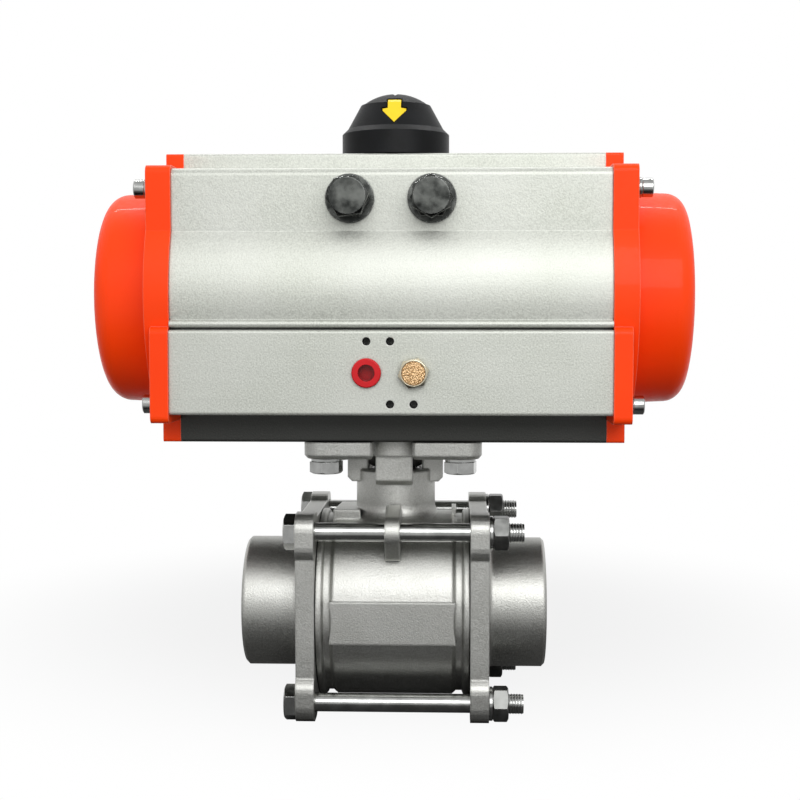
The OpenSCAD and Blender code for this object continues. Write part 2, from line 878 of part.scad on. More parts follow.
module pinion_shaft() {
    color(steel) at_actuator() difference() {
        union() {
            rod_z(journal_low_r, shaft_foot, -pinion_h / 2 - 0.5);
            rod_z(root_r - 0.5, -pinion_h / 2 - 1, pinion_h / 2 + 0.5);
            translate([0, 0, -pinion_h / 2]) linear_extrude(pinion_h) pinion_section();
            rod_z(collar_r, pinion_h / 2 - 1, cam_foot);
            translate([0, 0, cam_foot - 1]) linear_extrude(collar_top - cam_foot + 1) cam_seat_section(0);
            rod_z(journal_top_r, collar_top - 1, rail_top + 6);
            intersection() {
                rod_z(shaft_end_af * 0.62, rail_top + 5, shaft_end);
                translate([0, 0, shaft_end / 2]) cube([shaft_end_af, shaft_end_af, 2 * shaft_end], center = true);
            }
        }
        translate([0, 0, -foot_drop + drive_depth / 2 - 1])
            cube([drive_af, drive_af, drive_depth + 2], center = true);
        rod_z(indicator_screw_d / 2 + thread_play, shaft_end - 14, shaft_end + 1);
        ring_shape(journal_top_r + 3, journal_top_r - ring_groove, ring_z - 0.05, ring_z + ring_t + 0.05);
    }
}

module stop_cam() {
    color(dark_steel) at_actuator() translate([0, 0, cam_foot]) difference() {
        linear_extrude(cam_t) difference() {
            union() {
                circle(r = cam_hub_r);
                intersection() {
                    circle(r = cam_r);
                    union() {
                        translate([0, -cam_face]) square([2 * cam_r, cam_face]);
                        translate([-cam_face, 0]) square([cam_face, 2 * cam_r]);
                    }
                }
            }
            cam_seat_section(run_play);
        }
    }
}

module shaft_thrust_washer() {
    color(bearing_plastic) at_actuator()
        ring_shape(bearing_flange_r + 2, journal_top_r + run_play, thrust_z, thrust_z + thrust_t);
}

module shaft_retaining_ring() {
    color(dark_steel) at_actuator() difference() {
        ring_shape(journal_top_r + 3, journal_top_r - ring_groove, ring_z, ring_z + ring_t);
        translate([-2.5, 0, ring_z - 1]) cube([5, 30, ring_t + 2]);
    }
}

module drive_sleeve() {
    color(dark_steel) translate([0, 0, sleeve_z]) difference() {
        translate([0, 0, sleeve_h / 2]) cube([drive_af - 0.1, drive_af - 0.1, sleeve_h], center = true);
        translate([0, 0, sleeve_h / 2]) cube([stem_af + 0.1, stem_af + 0.1, sleeve_h + 2], center = true);
    }
}

// ---- Indicator ----

// Sphere radius of the crown, from its rise over its foot
crown_rise = indicator_h - crown_h;
crown_sphere_r = (pow(crown_r, 2) + pow(crown_rise, 2)) / (2 * crown_rise);

// The cap's outer profile as [radius, height], drawn in by inset
function indicator_outline(inset) = concat(
    [[0, 0], [indicator_r - inset, 0], [indicator_r - inset, band_h],
        [cone_foot_r - inset, cone_foot_h], [cone_top_r - inset, cone_top_h], [crown_r - inset, crown_h]],
    [for (i = [1 : 8]) let (r = (crown_r - inset) * (1 - i / 8))
        [r, indicator_h - crown_sphere_r + sqrt(pow(crown_sphere_r, 2) - pow(r, 2)) - inset]]);

// Arrow that points down, seen along Y
module arrow_section(grow) {
    shaft = arrow_shaft + grow;
    head = arrow_head + grow;
    polygon([
        [-shaft, arrow_top + grow], [shaft, arrow_top + grow],
        [shaft, arrow_neck + grow], [head, arrow_neck - arrow_barb_drop + grow],
        [head, arrow_barb + grow / 2], [0, arrow_tip - 1.5 * grow],
        [-head, arrow_barb + grow / 2], [-head, arrow_neck - arrow_barb_drop + grow],
        [-shaft, arrow_neck + grow]]);
}

// The arrow's outline run through the skin on both sides of the cap
module arrow_bars(grow) {
    for (turn = [0, 180]) rotate([0, 0, turn])
        translate([0, -6.5, 0]) rotate([90, 0, 0]) linear_extrude(indicator_r) arrow_section(grow);
}

module indicator_cap() {
    color(black_plastic) translate([0, 0, indicator_z]) difference() {
        rotate_extrude() polygon(indicator_outline(0));
        rotate_extrude() polygon([
            [0, -1], [indicator_r - 3, -1], [indicator_r - 3, band_h - 1],
            [cone_foot_r - 3, cone_foot_h - 2], [14, cone_foot_h - 2], [14, 9], [0, 9]]);
        translate([-shaft_end_af / 2 - 0.1, -shaft_end_af / 2 - 0.1, 0])
            cube([shaft_end_af + 0.2, shaft_end_af + 0.2, shaft_end_h - 0.2]);
        rod_z(indicator_screw_d / 2 + bolt_play, 0, indicator_h + 1);
        rod_z(indicator_bore_r, indicator_h - indicator_bore_depth, indicator_h + 1);
        translate([0, 0, indicator_h]) rotate([0, 45, 0])
            cube([notch * sqrt(2), 2 * indicator_r, notch * sqrt(2)], center = true);
        difference() {
            arrow_bars(0.6);
            rotate_extrude() polygon(indicator_outline(arrow_depth));
        }
    }
}

module indicator_arrows() {
    color(yellow) translate([0, 0, indicator_z]) intersection() {
        arrow_bars(0);
        difference() {
            rotate_extrude() polygon(indicator_outline(arrow_sunk));
            rotate_extrude() polygon(indicator_outline(arrow_depth - eps));
        }
    }
}

module indicator_screw() {
    seat = indicator_z + indicator_h - indicator_bore_depth;
    color(steel) difference() {
        union() {
            rod_z(indicator_screw_d / 2, top_z + shaft_end_h - 12, seat + 1);
            translate([0, 0, seat]) chamfered_rod(m6_head_d / 2, m6_head_h, 0.5);
        }
        translate([0, 0, seat + m6_head_h - 3]) cylinder(d = m6_socket_af / cos(30), h = 4, $fn = 6);
    }
}

// ---- Pistons ----

// Profile of one rack tooth, pointing at the pinion
module rack_tooth() {
    half = (PI * tooth_module - backlash) / 4;
    slope = tan(pressure_angle);
    tip = tooth_module;
    root = rack_root_y - pitch_r + 0.5;
    polygon([
        [-half - root * slope, root], [-half + tip * slope, -tip],
        [half - tip * slope, -tip], [half + root * slope, root]]);
}

// The right piston's rack runs along the -Y side of the pinion
module rack_arm() {
    difference() {
        intersection() {
            rod_x(rack_back_r, -rack_end_x, piston_x + 2);
            union() {
                translate([-rack_end_x, -bore_r, -rack_h / 2])
                    cube([rack_end_x + piston_x + 2, bore_r - rack_root_y, rack_h]);
                intersection() {
                    translate([0, -pitch_r, -rack_h / 2]) linear_extrude(rack_h)
                        for (i = [rack_tooth_from : rack_tooth_to])
                            translate([-(i + 0.5) * rack_pitch, 0]) rotate(180) rack_tooth();
                    translate([-rack_end_x, -bore_r, -rack_h])
                        cube([rack_end_x + piston_x, bore_r, 2 * rack_h]);
                }
            }
        }
        difference() {
            translate([rack_pad_x - rack_pad_l / 2, -bore_r - 1, -rack_pad_h / 2])
                cube([rack_pad_l, bore_r, rack_pad_h]);
            rod_x(rack_back_r + 2.45 - rack_pad_t, -body_x, body_x);
        }
    }
}

module piston(side) {
    color(anodised) on_piston_side(side) {
        rack_arm();
        difference() {
            translate([piston_x, 0, 0]) rotate([0, 90, 0]) chamfered_rod(piston_r, piston_t, 1);
            translate([seal_x - 0.1, 0, 0]) rotate([0, 90, 0])
                ring_shape(bore_r + 5, slide_r - seal_depth - 0.1, 0, seal_w + 0.2);
            translate([guide_x - 0.1, 0, 0]) rotate([0, 90, 0])
                ring_shape(bore_r + 5, slide_r - guide_t - 0.1, 0, guide_w + 0.2);
            at_springs() rod_x(spring_pocket_r, piston_out_x - spring_pocket, piston_out_x + 1);
        }
        at_springs() rod_x(spring_boss_r, piston_out_x - spring_pocket - 1, piston_out_x - 2);
    }
}

module piston_left() {
    piston(-1);
}

module piston_right() {
    piston(1);
}

module piston_seal(side) {
    color(rubber) on_piston_side(side) translate([seal_x, 0, 0]) rotate([0, 90, 0])
        ring_shape(slide_r, slide_r - seal_depth, 0, seal_w);
}

module piston_seal_left() {
    piston_seal(-1);
}

module piston_seal_right() {
    piston_seal(1);
}

module piston_guide(side) {
    color(bearing_plastic) on_piston_side(side) translate([guide_x, 0, 0]) rotate([0, 90, 0])
        ring_shape(slide_r, slide_r - guide_t, 0, guide_w);
}

module piston_guide_left() {
    piston_guide(-1);
}

module piston_guide_right() {
    piston_guide(1);
}

// Sliding pad let into the back of a rack
module rack_pad(side) {
    color(bearing_plastic) on_piston_side(side) intersection() {
        difference() {
            rod_x(slide_r, rack_pad_x - rack_pad_l / 2 + 0.1, rack_pad_x + rack_pad_l / 2 - 0.1);
            rod_x(rack_back_r + 2.45 - rack_pad_t + 0.05, -body_x, body_x);
        }
        translate([-body_x, -bore_r - 1, -rack_pad_h / 2 + 0.1]) cube([body_l, bore_r, rack_pad_h - 0.2]);
    }
}

module rack_pad_left() {
    rack_pad(-1);
}

module rack_pad_right() {
    rack_pad(1);
}

// ---- Valve body ----

// Outer profile of the centre body as [radius, x]: barrel, grooves and end rings
function centre_outline() = let (
    ring_x = centre_x - ring_w,
    groove_x = ring_x - groove_w,
    half = [
        [groove_r + 1, groove_x - 1.2], [groove_r, groove_x - 0.2], [groove_r, ring_x - 0.6],
        [ring_r - 0.8, ring_x], [ring_r, ring_x + 0.8], [ring_r, centre_x - 0.6], [ring_r - 0.6, centre_x]]
) concat(
    [[0, -centre_x]],
    [for (i = [len(half) - 1 : -1 : 0]) [half[i][0], -half[i][1]]],
    [[barrel_r, -groove_x + 2.4], [barrel_r, groove_x - 2.4]],
    half,
    [[0, centre_x]]);

// Neck with its flare into the barrel, as [radius, z]
neck_flare = 9;
neck_foot = barrel_r - 4;

module neck() {
    rotate_extrude() polygon(concat(
        [[0, 20], [neck_r + neck_flare, 20], [neck_r + neck_flare, neck_foot - 4.5]],
        arc(neck_r + neck_flare, neck_foot + neck_flare, neck_flare, 250, 180, 6),
        [[neck_r, neck_z - 1], [neck_r - 1, neck_z], [0, neck_z]]));
}

// Outline of a pad lobe, drawn in by inset
function lobe_outline(inset) = let (
    in = rib_w / 2 + 0.6 + inset * 0.5,
    out = pad_half - inset
) concat(
    [[in, in], [out - 1.5, in], [out, in + 1.5]],
    arc(out - lobe_round, out - lobe_round, lobe_round, 0, 90, 7),
    [[in + 1.5, out], [in, out - 1.5]]);

// One lobe of the mounting pad, in the quadrant of +X and +Y
module pad_lobe() {
    translate([0, 0, pad_under + 2]) linear_extrude(pad_t - 2) polygon(lobe_outline(0));
    hull() {
        translate([0, 0, pad_under]) linear_extrude(1) polygon(lobe_outline(1.5));
        translate([0, 0, pad_under + 2]) linear_extrude(1) polygon(lobe_outline(0));
    }
}

// Ribs that carry the pad above the open neck
module pad_ribs() {
    for (turn = [0 : 90 : 270]) rotate([0, 0, turn])
        translate([0, rib_w / 2, 0]) rotate([90, 0, 0]) linear_extrude(rib_w)
            polygon([
                [0, rib_foot], [rib_r - rib_chamfer, rib_foot],
                [rib_r, rib_foot + rib_chamfer], [rib_r, pad_z], [0, pad_z]]);
}

module pad_ring() {
    rod_z(rib_r + 4, pad_under, pad_z);
}

// Raised flat on the barrel's sides, left bare
marking_y = barrel_r + 0.8;
marking_h = 23;
marking_drop = 2;
marking_l = centre_l - 2 * (ring_w + groove_w) - 1;
scoop_r = 46;
scoop_depth = 1;

module marking_flats() {
    for (side = [-1, 1]) difference() {
        translate([-marking_l / 2, side > 0 ? 0 : -marking_y, -marking_h / 2 - marking_drop])
            cube([marking_l, marking_y, marking_h]);
        for (end = [-1, 1])
            translate([end * (marking_l / 2 + scoop_r - scoop_depth), side * marking_y, -marking_drop])
                rod_y(scoop_r, -3, 3);
    }
}

// Ears that hold the two upper body bolts in the middle
module bolt_ears() {
    for (side = [-1, 1]) along_x(-ear_t / 2, ear_t / 2) hull() {
        translate([side * bolt_yz, bolt_yz]) circle(r = ear_r);
        translate([side * (bolt_yz - 18), bolt_yz + 5]) circle(r = 7);
        translate([side * (bolt_yz - 4), bolt_yz - 10]) circle(r = 6);
    }
}

// Small cast pads on top of the barrel: a tapered one on the left and a narrow one on the right
cast_pad_x = 26.5;
cast_pad_w = 34;
cast_pad_front = 15;
cast_pad_back = 10;
cast_pad_rise = 2.4;
cast_bar_x = 31.5;
cast_bar_t = 2.4;
cast_bar_w = 18;
cast_bar_rise = 2.6;

module cast_pads() {
    translate([-cast_pad_x, 0, 0]) linear_extrude(barrel_r + cast_pad_rise) polygon([
        [-cast_pad_front / 2, -cast_pad_w / 2], [cast_pad_front / 2, -cast_pad_w / 2],
        [cast_pad_back / 2, cast_pad_w / 2], [-cast_pad_back / 2, cast_pad_w / 2]]);
    translate([cast_bar_x, -cast_bar_w / 2, 0]) cube([cast_bar_t, cast_bar_w, barrel_r + cast_bar_rise]);
}

module valve_body() {
    color(cast_steel) difference() {
        union() {
            turned_x() polygon(centre_outline());
            neck();
            for (turn = [0 : 90 : 270]) rotate([0, 0, turn]) pad_lobe();
            pad_ring();
            pad_ribs();
            marking_flats();
            bolt_ears();
            cast_pads();
        }
        rod_x(cavity_r, -centre_x - 1, centre_x + 1);
        for (side = [-1, 1]) on_side(side) translate([centre_x - body_seal_t, 0, 0]) rotate([0, 90, 0])
            ring_shape(ring_r - 3.3, cavity_r + 2, 0, body_seal_t + 1);
        rod_z(stem_r + run_play, 10, pad_z);
        rod_z(collar_stem_r + 0.2, 10, thrust_under);
        rod_z(packing_r, packing_z, neck_z + 1);
        rod_z(pad_bore_r, neck_z - 0.01, pad_z + 1);
        at_mounting() rod_z(m10_r + bolt_play, pad_under - 1, pad_z + 1);
        for (side = [-1, 1]) translate([0, side * bolt_yz, bolt_yz])
            rod_x(m10_r + bolt_play, -ear_t, ear_t);
    }
}

// ---- End connectors ----

// Places the children on the four body bolts' axes
module at_body_bolts() {
    for (y = [-1, 1], z = [-1, 1]) translate([0, y * bolt_yz, z * bolt_yz]) children();
}

module plate_section() {
    square(2 * waist_half, center = true);
    for (y = [-1, 1], z = [-1, 1]) scale([y, z])
        polygon(round_rect(plate_half - lug_w, plate_half - lug_w, plate_half, plate_half, lug_round, 6));
}

// Stub, its root fillet and the spigot, as [radius, x]
root_fillet = 3;

module connector_core() {
    turned_x() polygon(concat(
        [[0, spigot_in], [cavity_r - 0.4, spigot_in], [cavity_r - run_play, spigot_in + 0.5],
            [cavity_r - run_play, centre_x + 1]],
        [[stub_d / 2 + root_fillet, centre_x + 1], [stub_d / 2 + root_fillet, plate_out]],
        arc(stub_d / 2 + root_fillet, plate_out + root_fillet, root_fillet, 270, 180, 4),
        [[stub_d / 2, valve_x - 1.5], [stub_d / 2 - 1.5, valve_x], [0, valve_x]]));
}

module end_connector(side) {
    color(cast_steel) on_side(side) difference() {
        union() {
            along_x(centre_x, plate_out) plate_section();
            connector_core();
        }
        rod_x(way_r, spigot_in - 1, valve_x);
        rod_x(socket_d / 2, valve_x - socket_l, valve_x + 1);
        at_body_bolts() rod_x(m10_r + bolt_play, centre_x - 1, plate_out + 1);
    }
}

module end_connector_left() {
    end_connector(-1);
}

module end_connector_right() {
    end_connector(1);
}

module body_seal(side) {
    color(ptfe) on_side(side) translate([centre_x - body_seal_t, 0, 0]) rotate([0, 90, 0])
        ring_shape(ring_r - 3.35, cavity_r + 2.05, 0.02, body_seal_t - 0.02);
}

module body_seal_left() {
    body_seal(-1);
}

module body_seal_right() {
    body_seal(1);
}

// ---- Ball, seats and stem ----

module seat(side) {
    color(ptfe) on_side(side) difference() {
        translate([seat_in, 0, 0]) rotate([0, 90, 0])
            ring_shape(cavity_r - 0.1, way_r + 0.2, 0, spigot_in - seat_in - 0.02);
        sphere(r = ball_r + run_play);
    }
}

module seat_left() {
    seat(-1);
}

module seat_right() {
    seat(1);
}

// The bore lies across the pipe when the valve is closed, and the slot along it
module ball() {
    color(steel) difference() {
        sphere(r = ball_r, $fn = 96);
        rod_y(way_r, -2 * ball_r, 2 * ball_r);
        translate([-ball_r, -tang_w / 2 - 0.1, tang_foot - 0.2]) cube([2 * ball_r, tang_w + 0.2, ball_r]);
    }
}

module valve_stem() {
    color(steel) union() {
        intersection() {
            translate([-tang_l / 2, -tang_w / 2, tang_foot]) cube([tang_l, tang_w, collar_foot - tang_foot + 1]);
            rod_z(tang_l / 2, tang_foot, collar_foot + 1);
        }
        rod_z(collar_stem_r, collar_foot, thrust_under - 1.7);
        rod_z(stem_r, collar_foot, stem_square_z);
        intersection() {
            rod_z(stem_r, stem_square_z - 1, stem_top);
            translate([-stem_af / 2, -stem_af / 2, stem_square_z - 1]) cube([stem_af, stem_af, stem_top]);
        }
    }
}

module stem_thrust_washer() {
    color(ptfe) ring_shape(collar_stem_r, stem_r + run_play, thrust_under - 1.6, thrust_under - 0.05);
}

module stem_packing() {
    color(ptfe) ring_shape(packing_r - 0.05, stem_r + run_play, packing_z + 0.05, packing_z + packing_h);
}

module gland_ring() {
    color(steel) ring_shape(packing_r - 0.1, stem_r + run_play, gland_z, gland_z + gland_h);
}

// Two cone springs, stacked edge to edge
module disc_springs() {
    out_r = packing_r - 0.5;
    in_r = stem_r + run_play;
    thick = 0.9;
    half = disc_h / 2;
    color(dark_steel) for (flip = [0, 1]) translate([0, 0, disc_z + half]) mirror([0, 0, flip])
        rotate_extrude() polygon([
            [in_r, half - thick], [in_r, half], [out_r, thick + 0.01], [out_r, 0.01]]);
}

module gland_nut() {
    color(steel) translate([0, 0, gland_nut_z]) hex_nut(nut_af, nut_h, stem_r + thread_play);
}

// ---- Fasteners ----

module body_bolts() {
    color(steel) at_body_bolts() {
        rod_x(m10_r, -plate_out - 1, bolt_end);
        translate([-plate_out, 0, 0]) rotate([0, -90, 0]) hex_head(m10_af, m10_head);
    }
}

module body_nuts() {
    color(steel) at_body_bolts()
        translate([plate_out + m10_washer, 0, 0]) rotate([0, 90, 0]) rotate(30)
            hex_nut(m10_af, m10_nut, m10_r + thread_play);
}

module body_washers() {
    color(steel) at_body_bolts() translate([plate_out, 0, 0]) rotate([0, 90, 0])
        flat_washer(washer_r - 1, m10_r + bolt_play, m10_washer);
}

module mounting_bolts() {
    color(steel) at_mounting() {
        rod_z(m10_r, pad_under - m10_washer - 1, mount_bolt_top);
        translate([0, 0, pad_under - m10_washer]) rotate([180, 0, 20]) hex_head(mount_af, m10_head);
    }
}

module mounting_washers() {
    color(steel) at_mounting() translate([0, 0, pad_under - m10_washer])
        flat_washer(mount_washer_r, m10_r + bolt_play, m10_washer);
}

actuator_body();
end_cap_left();
end_cap_right();
cap_seal_left();
cap_seal_right();
cap_screws_left();
cap_screws_right();
stop_screws();
stop_lock_nuts();
stop_washers();
port_plug();
breather_vent();
breather_filter();
shaft_bearing_lower();
shaft_bearing_upper();
shaft_seal_lower();
shaft_seal_upper();
spring_set_left();
spring_set_right();
pinion_shaft();
stop_cam();
shaft_thrust_washer();
shaft_retaining_ring();
drive_sleeve();
indicator_cap();
indicator_arrows();
indicator_screw();
piston_left();
piston_right();
piston_seal_left();
piston_seal_right();
piston_guide_left();
piston_guide_right();
rack_pad_left();
rack_pad_right();
valve_body();
end_connector_left();
end_connector_right();
body_seal_left();
body_seal_right();
seat_left();
seat_right();
ball();
valve_stem();
stem_thrust_washer();
stem_packing();
gland_ring();
disc_springs();
gland_nut();
body_bolts();
body_nuts();
body_washers();
mounting_bolts();
mounting_washers();
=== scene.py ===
"""Looks of a quarter-turn ball valve with a rack-and-pinion pneumatic actuator, in metres.

The valve stands on its connector lugs. X runs along the pipe and -Y is the port side.
"""
import bpy
import bmesh
import json
import math
from mathutils import Matrix, Vector


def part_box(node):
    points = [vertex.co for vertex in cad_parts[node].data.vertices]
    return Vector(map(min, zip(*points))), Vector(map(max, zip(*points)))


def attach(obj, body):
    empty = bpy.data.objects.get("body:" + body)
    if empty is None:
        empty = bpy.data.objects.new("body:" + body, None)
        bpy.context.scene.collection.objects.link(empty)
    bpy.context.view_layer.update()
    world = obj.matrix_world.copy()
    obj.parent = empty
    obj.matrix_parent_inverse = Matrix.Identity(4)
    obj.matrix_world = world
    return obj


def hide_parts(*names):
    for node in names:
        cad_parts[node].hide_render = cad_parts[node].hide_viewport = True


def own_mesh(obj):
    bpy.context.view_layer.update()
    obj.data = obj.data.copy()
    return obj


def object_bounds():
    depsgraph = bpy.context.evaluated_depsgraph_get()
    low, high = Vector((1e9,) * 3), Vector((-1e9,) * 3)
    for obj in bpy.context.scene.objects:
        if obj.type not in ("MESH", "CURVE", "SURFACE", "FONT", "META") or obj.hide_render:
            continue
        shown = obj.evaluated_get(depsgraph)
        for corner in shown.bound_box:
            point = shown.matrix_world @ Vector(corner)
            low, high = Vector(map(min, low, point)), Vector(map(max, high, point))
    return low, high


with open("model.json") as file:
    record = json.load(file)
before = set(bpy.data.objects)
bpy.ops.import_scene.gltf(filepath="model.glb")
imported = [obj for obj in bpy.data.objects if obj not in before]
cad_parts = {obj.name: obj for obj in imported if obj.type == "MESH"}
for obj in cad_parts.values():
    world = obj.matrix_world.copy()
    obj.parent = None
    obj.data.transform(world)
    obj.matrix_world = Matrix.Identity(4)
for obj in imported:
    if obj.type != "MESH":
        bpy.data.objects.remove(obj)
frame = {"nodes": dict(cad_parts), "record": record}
cad_low, cad_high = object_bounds()
MM = 0.001


# ---- Sizes read from the frame ----

def centre(node):
    low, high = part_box(node)
    return (low + high) / 2


# ---- Material helpers ----

def linear(hex_colour):
    """An sRGB hex colour as linear red, green, blue and alpha."""
    parts = [int(hex_colour[i:i + 2], 16) / 255 for i in (1, 3, 5)]
    return [p / 12.92 if p <= 0.04045 else ((p + 0.055) / 1.055) ** 2.4 for p in parts] + [1.0]


def per_mm(millimetres):
    """Texture scale at which one feature of the pattern is about this many millimetres."""
    return 1.0 / (millimetres * MM)


def add(tree, kind, inputs=None, **settings):
    """Adds a shader node. inputs maps a socket's name or number to a value or to another socket."""
    made = tree.nodes.new(kind)
    for name, value in settings.items():
        setattr(made, name, value)
    for name, value in (inputs or {}).items():
        if isinstance(value, bpy.types.NodeSocket):
            tree.links.new(value, made.inputs[name])
        else:
            made.inputs[name].default_value = value
    return made


def new_material(name, colour, roughness, metallic=0.0, **sockets):
    """A material with one Principled shader. Returns the material, its tree and the shader.
    The colour and roughness are the plain ones, for where a pattern isn't joined to them."""
    material = bpy.data.materials.new(name)
    material.use_nodes = True
    tree = material.node_tree
    tree.nodes.clear()
    shader = add(tree, "ShaderNodeBsdfPrincipled", {
        "Base Color": linear(colour), "Roughness": roughness, "Metallic": metallic, **sockets})
    add(tree, "ShaderNodeOutputMaterial", {"Surface": shader.outputs["BSDF"]})
    return material, tree, shader


def object_place(tree, stretch=(1, 1, 1)):
    """Object coordinates, scaled so that a pattern can be drawn out along one axis."""
    place = add(tree, "ShaderNodeTexCoord").outputs["Object"]
    return add(tree, "ShaderNodeMapping", {"Vector": place, "Scale": stretch}).outputs["Vector"]


def noise(tree, where, grain_mm, detail=2.0, rough=0.5):
    made = add(tree, "ShaderNodeTexNoise", {
        "Vector": where, "Scale": per_mm(grain_mm), "Detail": detail, "Roughness": rough})
    return made.outputs["Fac"]


def ramp(tree, value, low, high, low_at=0.3, high_at=0.7):
    """Spreads a 0 to 1 value between two colours or grey levels."""
    made = add(tree, "ShaderNodeValToRGB", {"Fac": value})
    ends = made.color_ramp.elements
    for end, level, at in ((ends[0], low, low_at), (ends[1], high, high_at)):
        end.position = at
        end.color = linear(level) if isinstance(level, str) else (level, level, level, 1)
    return made.outputs["Color"]


def levels(tree, value, *stops):
    """Grey levels at several places along a 0 to 1 value."""
    made = add(tree, "ShaderNodeValToRGB", {"Fac": value})
    line = made.color_ramp.elements
    while len(line) < len(stops):
        line.new(0.5)
    for end, (at, level) in zip(line, stops):
        end.position = at
        end.color = (level, level, level, 1)
    return made.outputs["Color"]


def soft_edges(tree, radius_mm):
    """Normals that roll over the edges, as a broken or worn edge catches light."""
    return add(tree, "ShaderNodeBevel", {"Radius": radius_mm * MM}, samples=4).outputs["Normal"]


def edge_mask(tree, rolled, width=0.35):
    """1 on the edges and 0 on the faces; it places the highlights painted along edges."""
    flat = add(tree, "ShaderNodeNewGeometry").outputs["Normal"]
    same = add(tree, "ShaderNodeVectorMath", {0: rolled, 1: flat}, operation="DOT_PRODUCT")
    return add(tree, "ShaderNodeMapRange", {
        "Value": same.outputs["Value"], "From Min": 1.0, "From Max": 1.0 - width,
        "To Min": 0.0, "To Max": 1.0}).outputs["Result"]


def paint_crevice_shade(tree, colour, reach_mm, depth=0.95):
    """Painted shade: darkens the colour in bores, grooves and tight corners, where little light
    gets in.
    """
    open_to_light = add(tree, "ShaderNodeAmbientOcclusion", {"Distance": reach_mm * MM}, samples=6)
    shut = add(tree, "ShaderNodeMapRange", {
        "Value": open_to_light.outputs["AO"], "From Min": 0.15, "From Max": 0.62,
        "To Min": depth, "To Max": 0.0})
    return mix_colour(tree, shut.outputs[0], colour, "#0A0A0A")


def mix_colour(tree, amount, first, second):
    """Blends two colours, each a hex colour, four numbers or a socket."""
    made = add(tree, "ShaderNodeMix", data_type="RGBA")
    for name, value in (("Factor", amount), ("A", first), ("B", second)):
        socket = next(s for s in made.inputs if s.name == name and s.enabled and (
            s.type == "RGBA" or name == "Factor" and s.type == "VALUE"))
        if isinstance(value, bpy.types.NodeSocket):
            tree.links.new(value, socket)
        else:
            socket.default_value = linear(value) if isinstance(value, str) else value
    return next(s for s in made.outputs if s.type == "RGBA" and s.enabled)


def bump(tree, height, depth_mm, normal=None):
    """Normals of a surface whose pattern is this deep, laid over other normals if given."""
    sockets = {"Height": height, "Distance": depth_mm * MM, "Strength": 1.0}
    if normal is not None:
        sockets["Normal"] = normal
    return add(tree, "ShaderNodeBump", sockets).outputs["Normal"]


def connect(tree, shader, **sockets):
    """Joins sockets to the shader. Base_Color stands for Base Color."""
    for name, socket in sockets.items():
        tree.links.new(socket, shader.inputs[name.replace("_", " ")])


# ---- Materials ----

# The foot under the actuator's port faces, which the mounting pad carries, and on which the
# aluminium gets painted shade
FOOT_H = 16.4 * MM
FOOT_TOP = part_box("actuator_body")[0].z + FOOT_H
FOOT_BLUR = 0.8 * MM


def anodised_aluminium():
    """Extruded aluminium, bead blasted and clear anodised: pale, satin and faintly green, with an
    even sparkling grain from the blasting. Painted shade makes it nearly black on the foot, which
    lies in shade under the port faces, and darkens its hollows; a painted highlight lightens its
    edges.
    The grain is drawn about twice as coarse as it is."""
    material, tree, shader = new_material("anodised_aluminium", "#C4C7BE", 0.44, 0.55)
    where = object_place(tree)
    grain = noise(tree, where, 0.9, 2.0, 0.7)
    cloud = noise(tree, where, 55, 2.0)
    dies = noise(tree, object_place(tree, (0.02, 1, 1)), 2.5, 2.0)
    tint = mix_colour(tree, ramp(tree, grain, 0.0, 1.0, 0.35, 0.65), "#AEB1A8", "#CDD0C7")
    tint = mix_colour(tree, ramp(tree, cloud, 0.0, 0.35), tint, "#DADBD7")
    tint = mix_colour(tree, ramp(tree, dies, 0.0, 0.12), tint, "#A9ACA6")
    rolled = soft_edges(tree, 0.7)
    # Painted highlight: the edges are lightened towards near white
    tint = mix_colour(tree, edge_mask(tree, rolled), tint, "#EDEEEA")
    # Painted shade: the foot under the port faces is coloured nearly black, as it lies in shade
    # there
    height = add(tree, "ShaderNodeSeparateXYZ", {0: where}).outputs["Z"]
    foot = add(tree, "ShaderNodeMapRange", {
        "Value": height, "From Min": FOOT_TOP - FOOT_BLUR, "From Max": FOOT_TOP,
        "To Min": 0.92, "To Max": 0.0})
    tint = mix_colour(tree, foot.outputs[0], tint, "#0C0C0C")
    connect(tree, shader, Base_Color=paint_crevice_shade(tree, tint, 5),
            Roughness=ramp(tree, grain, 0.38, 0.54), Normal=bump(tree, grain, 0.10, rolled))
    return material


def orange_enamel():
    """Thick sprayed enamel on cast aluminium: hot orange and glossy, slightly wavy like orange
    peel, with a pale highlight painted along sharp edges and painted shade in its hollows."""
    material, tree, shader = new_material(
        "orange_enamel", "#FF4208", 0.42, 0.0,
        **{"Specular IOR Level": 0.12, "Coat Weight": 0.14, "Coat Roughness": 0.05,
           "Coat IOR": 1.4})
    where = object_place(tree)
    peel = noise(tree, where, 3.2, 1.0)
    cloud = noise(tree, where, 40, 2.0)
    rolled = soft_edges(tree, 0.8)
    tint = mix_colour(tree, ramp(tree, cloud, 0.0, 0.5), "#FF450A", "#FA3B06")
    # Painted highlight: sharp edges are paled towards a light salmon
    edge_highlight = ramp(tree, edge_mask(tree, rolled), 0.0, 0.6, 0.2, 0.8)
    tint = mix_colour(tree, edge_highlight, tint, "#FFB9A0")
    connect(tree, shader, Base_Color=paint_crevice_shade(tree, tint, 4, 0.6),
            Roughness=ramp(tree, peel, 0.38, 0.48), Normal=bump(tree, peel, 0.04, rolled))
    return material


